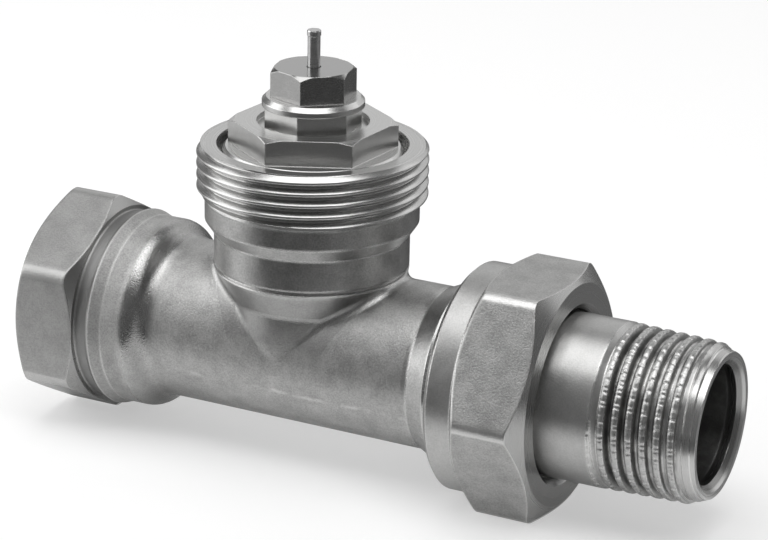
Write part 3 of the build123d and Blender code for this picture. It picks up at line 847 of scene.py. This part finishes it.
@dataclass
class ForgedBody:
    """The valve body with its three cut threads: head connection, inlet and outlet.

    Places along the pipe or up the neck, and distances from their axes, are in millimetres.
    """

    plating: PlatedBrass = PlatedBrass()
    neck_turned: float = 20.4
    neck_reach: float = 15.6
    branch_reach: float = 14.4
    branch_smooth: Pair = (2.0, 9.0)
    branch_polish: float = 0.7
    # Painted shade round the branch's foot, where the neck meets the barrel
    branch_shade_reach: float = 12.4
    branch_painted_shade: Pair = (3.0, 10.6)
    branch_shade: float = 0.45
    inlet_hex_end: float = 9.0
    # Painted shade over the inlet hexagon, and in the groove behind it
    inlet_hex_shade: float = 0.45
    inlet_bore_reach: float = 10.65
    inlet_bore_end: float = 15.0
    crown_turned: float = 0.8
    # Painted highlights on the inlet hexagon's corners and in patches along the barrel's seam
    corner: Pair = (15.02, 15.12)
    seam_height: float = -3.4
    seam_half: float = 0.22
    seam_waver: float = 0.8
    seam_highlight: float = 0.85
    underside_polish: float = 0.35
    groove_end: float = 10.7
    collar_coarseness: float = 1.1
    shoulder_start: float = 15.6
    shoulder_end: float = 18.8
    # Painted shade at the shoulder's foot
    shoulder_shade: float = 0.35
    flare_start: float = 56.0
    flare_polish: float = 0.6
    outlet_turned: float = 59.5
    head_thread: ScrewThread = ScrewThread(
        Lay.NECK, (20.85, 27.55, 14.3, 15.05), root=14.08, crest=15.0, pitch=1.5, start=20.9, end=27.49,
        trim=((26.9, 15.0), (27.0, 15.0), (27.5, 14.5)),
    )
    inlet_thread: ScrewThread = ScrewThread(
        Lay.PIPE, (1.2, 14.05, 9.2, 9.4), root=10.42, crest=9.3155, pitch=PIPE_PITCH, start=0.01, end=13.9,
        trim=((0.0, 10.6), (1.3, 9.3155), (14.0, 9.3155)),
    )
    outlet_thread: ScrewThread = ScrewThread(
        Lay.PIPE, (62.15, 65.3, 12.4, 12.7), root=12.06, crest=13.18, pitch=PIPE_PITCH, start=62.2, end=65.9,
        thinner=0.05, trim=((62.0, 13.18), (64.8, 13.18), (66.0, 12.1)),
    )

    def turned(self, graph: Graph) -> Socket:
        """Mask of what the lathe cut: thread and rim, outlet end, bores, and the inlet hexagon's face and crown.

        Args:
            graph: the material's nodes.

        Returns:
            The mask.
        """
        height, neck_radius, _ = graph.turned_place(Lay.NECK)
        along, radius, _ = graph.turned_place(Lay.PIPE)
        rim = graph.ramp(height, self.neck_turned - 0.2, self.neck_turned + 0.2)
        neck = graph.product(graph.below(neck_radius, self.neck_reach), rim)
        outlet = graph.above(along, self.outlet_turned)
        end = graph.below(along, self.inlet_hex_end)
        crown = graph.product(end, graph.leaning(Lay.PIPE, 0.15, 0.35), self.crown_turned)
        bore = graph.product(graph.below(radius, self.inlet_bore_reach), graph.below(along, self.inlet_bore_end))
        return graph.most(neck, outlet, crown, bore)

    def painted_highlight(self, graph: Graph) -> Socket:
        """Mask of painted highlights: the inlet hexagon's corners, furthest from the axis, and patches of the
        barrel's seams.

        Args:
            graph: the material's nodes.

        Returns:
            The mask.
        """
        along, radius, _ = graph.turned_place(Lay.PIPE)
        _, _, height = graph.parts(graph.place)
        corner = graph.product(graph.ramp(radius, *self.corner), graph.below(along, self.inlet_hex_end))
        patchy = graph.step(graph.noise(graph.place, 2.4, detail=4.0), 0.42, 0.62)
        sway = graph.math("SUBTRACT", graph.noise(graph.place, 3.0, detail=4.0), 0.5)
        swayed = graph.total(height, graph.product(sway, self.seam_waver * MM))
        seam = graph.band(swayed, self.seam_height - self.seam_half, self.seam_height + self.seam_half, 0.25)
        barrel = graph.band(along, self.shoulder_end, self.flare_start, 0.8)
        return graph.most(corner, graph.product(seam, patchy, barrel, self.seam_highlight))

    def painted_shade(self, graph: Graph) -> Socket:
        """Mask of painted shade: the groove behind the inlet hexagon, and fainter the hexagon, shoulder foot and
        branch.

        Args:
            graph: the material's nodes.

        Returns:
            The mask.
        """
        along, _, _ = graph.turned_place(Lay.PIPE)
        height, neck_radius, _ = graph.turned_place(Lay.NECK)
        groove = graph.band(along, self.inlet_hex_end, self.groove_end - 0.1, 0.12)
        hexagon = graph.product(graph.below(along, self.inlet_hex_end), self.inlet_hex_shade)
        foot = graph.band(along, self.shoulder_start + 0.6, self.shoulder_end - 0.4, 0.5)
        near = graph.below(neck_radius, self.branch_shade_reach)
        branch = graph.product(near, graph.band(height, *self.branch_painted_shade, 1.0), self.branch_shade)
        return graph.most(groove, hexagon, graph.product(foot, self.shoulder_shade), branch)

    def polished(self, graph: Graph) -> Socket:
        """Mask of the smoother shoulder, flare, branch and underside, and less than 0 on the coarser collar.

        Args:
            graph: the material's nodes.

        Returns:
            The mask.
        """
        along, _, _ = graph.turned_place(Lay.PIPE)
        height, neck_radius, _ = graph.turned_place(Lay.NECK)
        shoulder = graph.band(along, self.shoulder_start, self.shoulder_end, 0.4)
        flare = graph.product(graph.above(along, self.flare_start), self.flare_polish)
        collar = graph.band(along, self.groove_end, self.shoulder_start - 0.6, 0.4)
        underside = graph.product(graph.below(height, self.seam_height), self.underside_polish)
        near = graph.below(neck_radius, self.branch_reach)
        branch = graph.product(near, graph.ramp(height, *self.branch_smooth), self.branch_polish)
        return graph.total(
            graph.most(shoulder, flare), graph.product(collar, -self.collar_coarseness), underside, branch
        )

    def build(self) -> None:
        """Cut the threads into a copy of the CAD body and dress it."""
        surface = Surface.threaded("valve_body", (self.head_thread, self.inlet_thread, self.outlet_thread))
        plating = self.plating.material(
            "nickel_forging_blasted", Lay.NECK, self.turned, self.polished, self.painted_highlight, self.painted_shade
        )
        surface.piece("forged_body", "valve_body", "body", "nickel_forging", plating)


@dataclass
class UnionEnd:
    """The union nut and the tail that it draws to the body, with the tail's seal. Sizes in millimetres."""

    plating: PlatedBrass = PlatedBrass()
    rubber: Moulded = Moulded(BLACK_RUBBER, 0.5, 0.05)
    nut_collar_end: float = 64.8
    nut_collar_turned: float = 0.45
    nut_bore_reach: float = 14.0
    nut_middle: float = 70.0
    # Painted shade on the nut's face and crown on the tail's side, and painted highlights on its corners
    nut_face_shade: float = 0.4
    corner: Pair = (16.84, 16.94)
    tail_outside: float = 9.0
    tail_thread_start: float = 81.6
    tail_thread_end: float = 93.6
    tail_runout: float = 83.0
    tail_end_start: float = 92.9
    tail_turned_share: float = 0.5
    tail_end_shine: float = 0.4
    # Painted shade in the tail thread's grooves and pits, and on the inner half of its mouth's chamfer
    tail_grooves: Pair = (10.2, 9.8)
    tail_groove_shade: Pair = (0.35, 0.85)
    tail_pit_shade: float = 0.75
    tail_mouth: Pair = (8.3, 8.1)
    nut_thread: ScrewThread = ScrewThread(
        Lay.PIPE, (61.7, 67.7, 12.6, 12.8), root=13.24, crest=12.12, pitch=PIPE_PITCH, start=61.05, end=67.5,
        shift=0.907, thinner=0.05, trim=((61.0, 13.4), (62.3, 12.12), (68.0, 12.12)),
    )
    tail_thread: ScrewThread = ScrewThread(
        Lay.PIPE, (81.45, 95.1, 9.25, 10.6), root=9.5, crest=10.65, pitch=PIPE_PITCH, start=81.35, end=94.99,
        face=((81.6, 9.4), (93.6, 9.72), (95.0, 9.3)), taper=1 / 32, shift=0.47,
        trim=((92.5, 10.7), (93.4, 9.95), (95.0, 9.3)), notches=118, notch_depth=0.1, steps_a_turn=472,
        crest_share=0.24, root_share=0.1,
    )

    def nut_turned(self, graph: Graph) -> Socket:
        """Mask of the nut's turned collar, crowns, faces and bore.

        Args:
            graph: the material's nodes.

        Returns:
            The mask.
        """
        along, radius, _ = graph.turned_place(Lay.PIPE)
        collar = graph.product(graph.below(along, self.nut_collar_end), self.nut_collar_turned)
        return graph.most(collar, graph.leaning(Lay.PIPE, 0.12, 0.3), graph.below(radius, self.nut_bore_reach))

    def nut_painted_shade(self, graph: Graph) -> Socket:
        """Mask of painted shade on the nut's face and crown on the tail's side, painted a little darker."""
        beyond = graph.above(graph.turned_place(Lay.PIPE)[0], self.nut_middle)
        return graph.product(beyond, graph.leaning(Lay.PIPE, 0.12, 0.4), self.nut_face_shade)

    def nut_painted_highlight(self, graph: Graph) -> Socket:
        """Mask of painted highlights on the nut's rounded corners, which stand furthest from the pipe axis."""
        return graph.ramp(graph.turned_place(Lay.PIPE)[1], *self.corner)

    def tail_turned(self, graph: Graph) -> Socket:
        """Mask of the tail's turned end, with a tube and a thread that are half dull."""
        along = graph.turned_place(Lay.PIPE)[0]
        end = graph.ramp(along, self.tail_end_start - 0.2, self.tail_end_start + 0.2)
        return graph.total(graph.product(end, self.tail_end_shine), self.tail_turned_share)

    def tail_painted_shade(self, graph: Graph) -> Socket:
        """Mask of painted shade: the tail thread's patchy grooves and pits, and the inner half of the mouth's
        chamfer.

        Args:
            graph: the material's nodes.

        Returns:
            The mask.
        """
        along, radius, _ = graph.turned_place(Lay.PIPE)
        patchy = graph.step(graph.noise(graph.place, 2.2, detail=4.0), 0.4, 0.6)
        deep = graph.product(graph.ramp(radius, *self.tail_grooves), graph.blend(patchy, *self.tail_groove_shade))
        pits = graph.step(graph.noise(graph.place, 0.5, detail=3.0, rough=0.6), 0.54, 0.66)
        painted_light = graph.most(deep, graph.product(pits, self.tail_pit_shade))
        thread = graph.product(painted_light, graph.band(along, self.tail_runout, self.tail_end_start, 0.1))
        rim = graph.product(graph.ramp(radius, *self.tail_mouth), graph.above(along, self.tail_end_start))
        return graph.most(thread, rim)

    def build(self) -> None:
        """Cut the threads of nut and tail and dress both and the seal.

        The tail's run-out and its turned end slide to where the picture shows them.
        """
        nut = Surface.threaded("union_nut", (self.nut_thread,))
        plating = self.plating.material(
            "nickel_nut_blasted", Lay.PIPE, self.nut_turned, painted_highlight=self.nut_painted_highlight, painted_shade=self.nut_painted_shade
        )
        nut.piece("flanged_nut", "union_nut", "nut", "nickel_nut", plating)
        slides = (
            (self.tail_thread_start, self.tail_runout, self.tail_outside),
            (self.tail_thread_end, self.tail_end_start, self.tail_outside),
        )
        tail = Surface.threaded("union_tail", (self.tail_thread,), slides)
        plating = self.plating.material("nickel_tail_turned", Lay.PIPE, self.tail_turned, painted_shade=self.tail_painted_shade)
        tail.piece("threaded_tail", "union_tail", "tail", "nickel_turned", plating)
        dress("tail_o_ring", self.rubber.material("rubber_tail_ring"))


@dataclass
class BonnetInsert:
    """Bonnet, gland housing, gland nut and the seals and guides inside them."""

    plating: PlatedBrass = PlatedBrass(turned_colour=(0.56, 0.559, 0.553))
    gland_plating: PlatedBrass = PlatedBrass(
        colour=(0.35, 0.349, 0.345), turned_colour=(0.35, 0.349, 0.345), turned_roughness=0.16
    )
    rubber: Moulded = Moulded(BLACK_RUBBER, 0.5, 0.05)
    plastic: Moulded = Moulded((0.78, 0.77, 0.72), 0.38, 0.1)
    brass: BareMetal = BareMetal(RAW_BRASS, 0.3)
    flats_turned: float = 0.7

    def hexagon_turned(self, graph: Graph) -> Socket:
        """Mask that leaves the milled flats a little duller than the turned tops and rings."""
        leaning = graph.leaning(Lay.NECK, 0.1, 0.3)
        return graph.total(graph.product(leaning, 1 - self.flats_turned), self.flats_turned)

    def dress(self) -> None:
        """Dress every node of the insert."""
        for node in ("bonnet", "gland_housing"):
            dress(node, self.plating.material(f"nickel_{node}", Lay.NECK, self.hexagon_turned))
        dress("gland_nut", self.gland_plating.material("nickel_gland_nut", Lay.NECK, self.hexagon_turned))
        for node in ("bonnet_o_ring", "housing_o_ring", "gland_o_ring_upper", "gland_o_ring_lower"):
            dress(node, self.rubber.material(f"rubber_{node}"))
        for node in ("gland_spacer", "stem_bush"):
            dress(node, self.plastic.material(f"plastic_{node}"))
        dress("gland_washer", self.brass.material("brass_gland_washer", Lay.NECK))


@dataclass
class Spindle:
    """The pin, the stem and what closes on the seat, with the spring that lifts them."""

    steel: BareMetal = BareMetal((0.56, 0.56, 0.56), 0.28, tarnish=0.08)
    wire: BareMetal = BareMetal((0.4, 0.4, 0.41), 0.34)
    brass: BareMetal = BareMetal(RAW_BRASS, 0.32)
    rubber: Moulded = Moulded(BLACK_RUBBER, 0.55, 0.04)
    travel: float = 3.2

    def build_spring(self) -> None:
        """Copy the return spring into a piece with its own mesh."""
        wire = self.wire.material("wire_coil_spring", Lay.NECK)
        coil = Surface.of_node("return_spring")
        spring = coil.piece("coil_spring", "return_spring", "body", "spring_steel", wire)
        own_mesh(spring)

    def dress(self) -> None:
        """Dress the spindle's CAD nodes."""
        for node in ("actuating_pin", "stem", "spring_retainer", "disc_washer", "disc_nut"):
            dress(node, self.steel.material(f"steel_{node}", Lay.NECK))
        dress("stem_clip", self.wire.material("wire_stem_clip", Lay.NECK))
        dress("disc_holder", self.brass.material("brass_disc_holder", Lay.NECK))
        dress("seat_disc", self.rubber.material("rubber_seat_disc"))


@dataclass(frozen=True)
class Softbox:
    """A rectangular area lamp that faces the valve. Angles are seen from the camera, degrees to its right and up."""

    name: str
    turn: float
    rise: float
    distance: float
    size: Pair
    power: float


@dataclass(frozen=True)
class Card:
    """A grey card on the floor, a sector between two turns from the camera's side, in degrees.

    It lies outside the ellipse round the valve, or inside it where it is an under card.
    """

    name: str
    first: float
    last: float
    shade: float
    glow: float = 0.0
    under: bool = False


@dataclass
class Studio:
    """Floor, lamps, world and camera.

    The camera's angles are in degrees and its shifts and distance in millimetres. Other places are in metres.
    """

    azimuth: float = 26.531
    elevation: float = 20.178
    roll: float = 1.131
    focal_pixels: float = 2807.0
    across: float = 9.629
    up: float = 9.377
    distance: float = 370.215
    picture_width: float = 768.0
    sensor: float = 36.0
    clip: Pair = (0.01, 20.0)
    world_level: float = 0.18
    floor: Paper = Paper(0.62, (0.99, 1.0), 3.0, 3.0)
    floor_half: float = 4.0
    floor_gap: float = 0.02 * MM
    floor_glow: float = 0.42
    card_middle: Pair = (0.0475, 0.0)
    card_lift: float = 0.5 * MM
    card_core: float = 1.0 * MM
    card_rim: Pair = (0.105, 0.042)
    card_reach: float = 0.7
    card_step: float = 5.0
    lamp_target: tuple[float, float, float] = (0.045, 0.0, 0.01)
    cards: tuple[Card, ...] = (
        Card("under_card", 125.0, 435.0, 0.92, 0.08, under=True),
        Card("under_right_card", 75.0, 125.0, 0.3, under=True),
        Card("front_card", -72.0, 66.0, 0.065),
        Card("right_card", 66.0, 97.0, 0.3),
        Card("back_right_card", 97.0, 145.0, 0.2),
        Card("back_card", 145.0, 215.0, 0.06),
        Card("far_left_card", 215.0, 238.0, 0.5),
        Card("left_card", 238.0, 288.0, 0.85),
    )
    softboxes: tuple[Softbox, ...] = (
        Softbox("left_softbox", -97.0, 24.0, 0.55, (0.5, 0.5), 1.65),
        Softbox("right_softbox", 115.0, 25.0, 0.6, (0.35, 0.5), 0.45),
        Softbox("back_softbox", 170.0, 28.0, 0.7, (1.0, 0.55), 1.1),
        Softbox("edge_softbox", 33.0, 52.0, 0.6, (0.16, 0.16), 0.3),
        Softbox("top_softbox", -30.0, 80.0, 0.6, (0.55, 0.55), 2.25),
    )

    @property
    def lowest(self) -> float:
        """Height of the valve's lowest point."""
        return min(corner[2] for corner in cad_box)

    def directions(self) -> tuple[Vector, Vector, Vector]:
        """Find how the camera stands before the roll.

        Returns:
            Its right and up and the direction back to it.
        """
        azimuth, elevation = math.radians(self.azimuth), math.radians(self.elevation)
        level = math.cos(elevation)
        back = Vector((math.sin(azimuth) * level, -math.cos(azimuth) * level, math.sin(elevation)))
        right = Vector((math.cos(azimuth), math.sin(azimuth), 0.0))
        return right, back.cross(right), back

    def level_direction(self, turn: float) -> Vector:
        """Turn a level direction from the camera's side to its right.

        Args:
            turn: the angle in degrees.

        Returns:
            The direction.
        """
        right, _, back = self.directions()
        level_back = Vector((back.x, back.y, 0.0)).normalized()
        return level_back * math.cos(math.radians(turn)) + right * math.sin(math.radians(turn))

    def add_camera(self) -> None:
        """Put the camera where the photograph was taken from."""
        right, up, back = self.directions()
        roll = math.radians(self.roll)
        right, up = right * math.cos(roll) + up * math.sin(roll), up * math.cos(roll) - right * math.sin(roll)
        place = Vector((NECK_X, 0.0, 0.0)) + back * self.distance + right * self.across + up * self.up
        data = bpy.data.cameras.new("camera")
        data.sensor_width = self.sensor
        data.lens = self.focal_pixels * self.sensor / self.picture_width
        data.clip_start, data.clip_end = self.clip
        camera = add_object("camera", data)
        camera.matrix_world = Matrix.Translation(place * MM) @ Matrix((right, up, back)).transposed().to_4x4()
        bpy.context.scene.camera = camera

    def floor_shine(self, graph: Graph) -> Socket:
        """Glow of the floor, only for what the camera sees straight, in metal or through a piece."""
        path = graph.tree.nodes.new("ShaderNodeLightPath").outputs
        seen = graph.most(path["Is Camera Ray"], path["Is Glossy Ray"], path["Is Transmission Ray"])
        return graph.product(seen, self.floor_glow)

    def add_floor(self) -> None:
        """Lay a pale floor under the lowest point, white to the camera where no shadow falls."""
        half, level = self.floor_half, self.lowest - self.floor_gap
        mesh = bpy.data.meshes.new("studio_floor")
        points = [(-half, -half, level), (half, -half, level), (half, half, level), (-half, half, level)]
        mesh.from_pydata(points, [], [(0, 1, 2, 3)])
        mesh.materials.append(self.floor.material("pale_floor", self.floor_shine))
        floor = add_object("studio_floor", mesh)

    def add_cards(self) -> None:
        """Lay grey cards on the floor round the valve, which only its bright metal reflects.

        The ellipse between the inner and the outer ones is longer along the pipe.
        """
        middle = Vector((*self.card_middle, self.lowest + self.card_lift))
        for card in self.cards:
            turns = np.linspace(card.first, card.last, int((card.last - card.first) / self.card_step) + 2)
            inner, outer = [], []
            for turn in turns:
                out = self.level_direction(turn)
                rim = 1 / math.hypot(out.x / self.card_rim[0], out.y / self.card_rim[1])
                inner.append(tuple(middle + out * (self.card_core if card.under else rim)))
                outer.append(tuple(middle + out * (rim if card.under else self.card_reach)))
            count = len(turns)
            faces = [(place, place + 1, place + 1 + count, place + count) for place in range(count - 1)]
            mesh = bpy.data.meshes.new(card.name)
            mesh.from_pydata(inner + outer, [], faces)
            mesh.materials.append(Paper(card.shade).material(card.name, lambda _, glow=card.glow: glow))
            laid = add_object(card.name, mesh)
            laid.visible_camera = laid.visible_diffuse = laid.visible_shadow = False

    def add_lamps(self) -> None:
        """Hang the softboxes round the valve, each facing its middle."""
        for box in self.softboxes:
            rise = math.radians(box.rise)
            out = self.level_direction(box.turn) * math.cos(rise) + Vector((0.0, 0.0, math.sin(rise)))
            data = bpy.data.lights.new(box.name, "AREA")
            data.shape = "RECTANGLE"
            data.size, data.size_y = box.size
            data.energy = box.power
            lamp = add_object(box.name, data)
            lamp.visible_camera = False
            hung = Matrix.Translation(Vector(self.lamp_target) + out * box.distance)
            lamp.matrix_world = hung @ out.to_track_quat("Z", "Y").to_matrix().to_4x4()

    def add_world(self) -> None:
        """Set an even, dim room around the table."""
        world = bpy.data.worlds.new("plain_room")
        world.use_nodes = True
        background = world.node_tree.nodes["Background"]
        background.inputs["Color"].default_value = (*WHITE, 1.0)
        background.inputs["Strength"].default_value = self.world_level
        bpy.context.scene.world = world

    def build(self) -> None:
        """Make the whole studio."""
        self.add_camera()
        self.add_floor()
        self.add_cards()
        self.add_lamps()
        self.add_world()
        bpy.context.scene.view_settings.view_transform = "Standard"
        log.info("studio: camera, floor, world and %d softboxes", len(self.softboxes))


def main() -> None:
    """Build the studio, then build and dress every sub-assembly in order."""
    logging.basicConfig(level=logging.INFO, format="%(name)s %(message)s")
    Studio().build()
    ForgedBody().build()
    UnionEnd().build()
    BonnetInsert().dress()
    spindle = Spindle()
    spindle.build_spring()
    spindle.dress()


if __name__ == "__main__":
    main()
